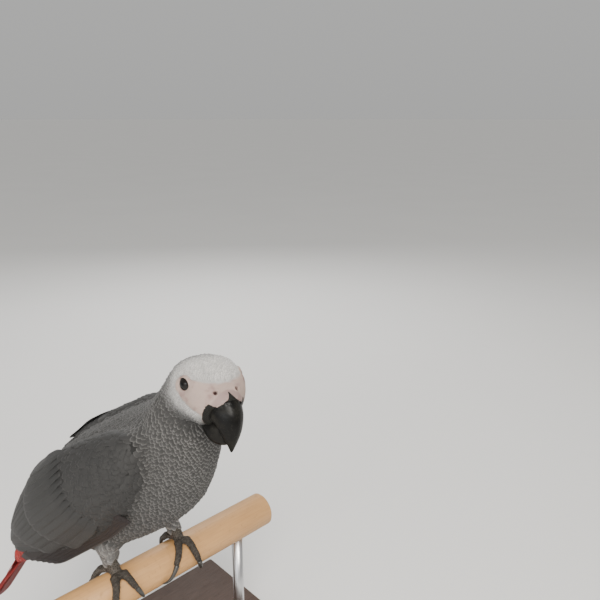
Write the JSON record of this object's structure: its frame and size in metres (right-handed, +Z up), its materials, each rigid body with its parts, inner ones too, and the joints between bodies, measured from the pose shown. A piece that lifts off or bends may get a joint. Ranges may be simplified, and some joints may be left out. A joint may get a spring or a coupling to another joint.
{
  "type": "grey parrot on a perch",
  "caption": "Life-size still model of a grey parrot with a pale bare face, black hooked bill and red tail, gripping a short wooden perch on a plain stand.",
  "frame": {"origin": "centre of the underside of the stand's base plate", "axes": "+Z up, the perch along Y, the front toes and the bill point along +X, the tail points towards -X and -Y"},
  "size_m": [0.2435, 0.26, 0.3195],
  "materials": {
    "head_plumage": "short pale grey feathers, nearly white round the bare face",
    "grey_plumage": "soft grey feathers with paler edges",
    "wing_plumage": "smooth charcoal grey feathers",
    "flight_feathers": "stiff blackish feathers, low sheen",
    "tail_feathers": "stiff crimson feathers, low sheen",
    "horn": "black horn, satin with a dusty bloom",
    "bare_skin": "bare whitish skin, matt",
    "scaly_skin": "dark grey scaly skin, matt",
    "eye": "dark wet eye, glossy",
    "perch_wood": "light tan smooth wood",
    "stand_wood": "dark stained wood, satin",
    "stand_steel": "brushed steel"
  },
  "bodies": {
    "root": {"bill_lower": "horn", "bill_upper": "horn", "cere": "bare_skin", "claw_inner_back_left": "horn", "claw_inner_back_right": "horn", "claw_inner_front_left": "horn", "claw_inner_front_right": "horn", "claw_outer_back_left": "horn", "claw_outer_back_right": "horn", "claw_outer_front_left": "horn", "claw_outer_front_right": "horn", "eye_left": "eye", "eye_right": "eye", "head": "head_plumage", "neck": "grey_plumage", "perch": "perch_wood", "primaries_left": "flight_feathers", "primaries_right": "flight_feathers", "rump": "grey_plumage", "shank_left": "scaly_skin", "shank_right": "scaly_skin", "stand_base": "stand_wood", "stand_rod_left": "stand_steel", "stand_rod_right": "stand_steel", "tail": "tail_feathers", "thigh_left": "grey_plumage", "thigh_right": "grey_plumage", "toe_inner_back_left": "scaly_skin", "toe_inner_back_right": "scaly_skin", "toe_inner_front_left": "scaly_skin", "toe_inner_front_right": "scaly_skin", "toe_outer_back_left": "scaly_skin", "toe_outer_back_right": "scaly_skin", "toe_outer_front_left": "scaly_skin", "toe_outer_front_right": "scaly_skin", "trunk": "grey_plumage", "wing_left": "wing_plumage", "wing_right": "wing_plumage"}
  },
  "joints": []
}
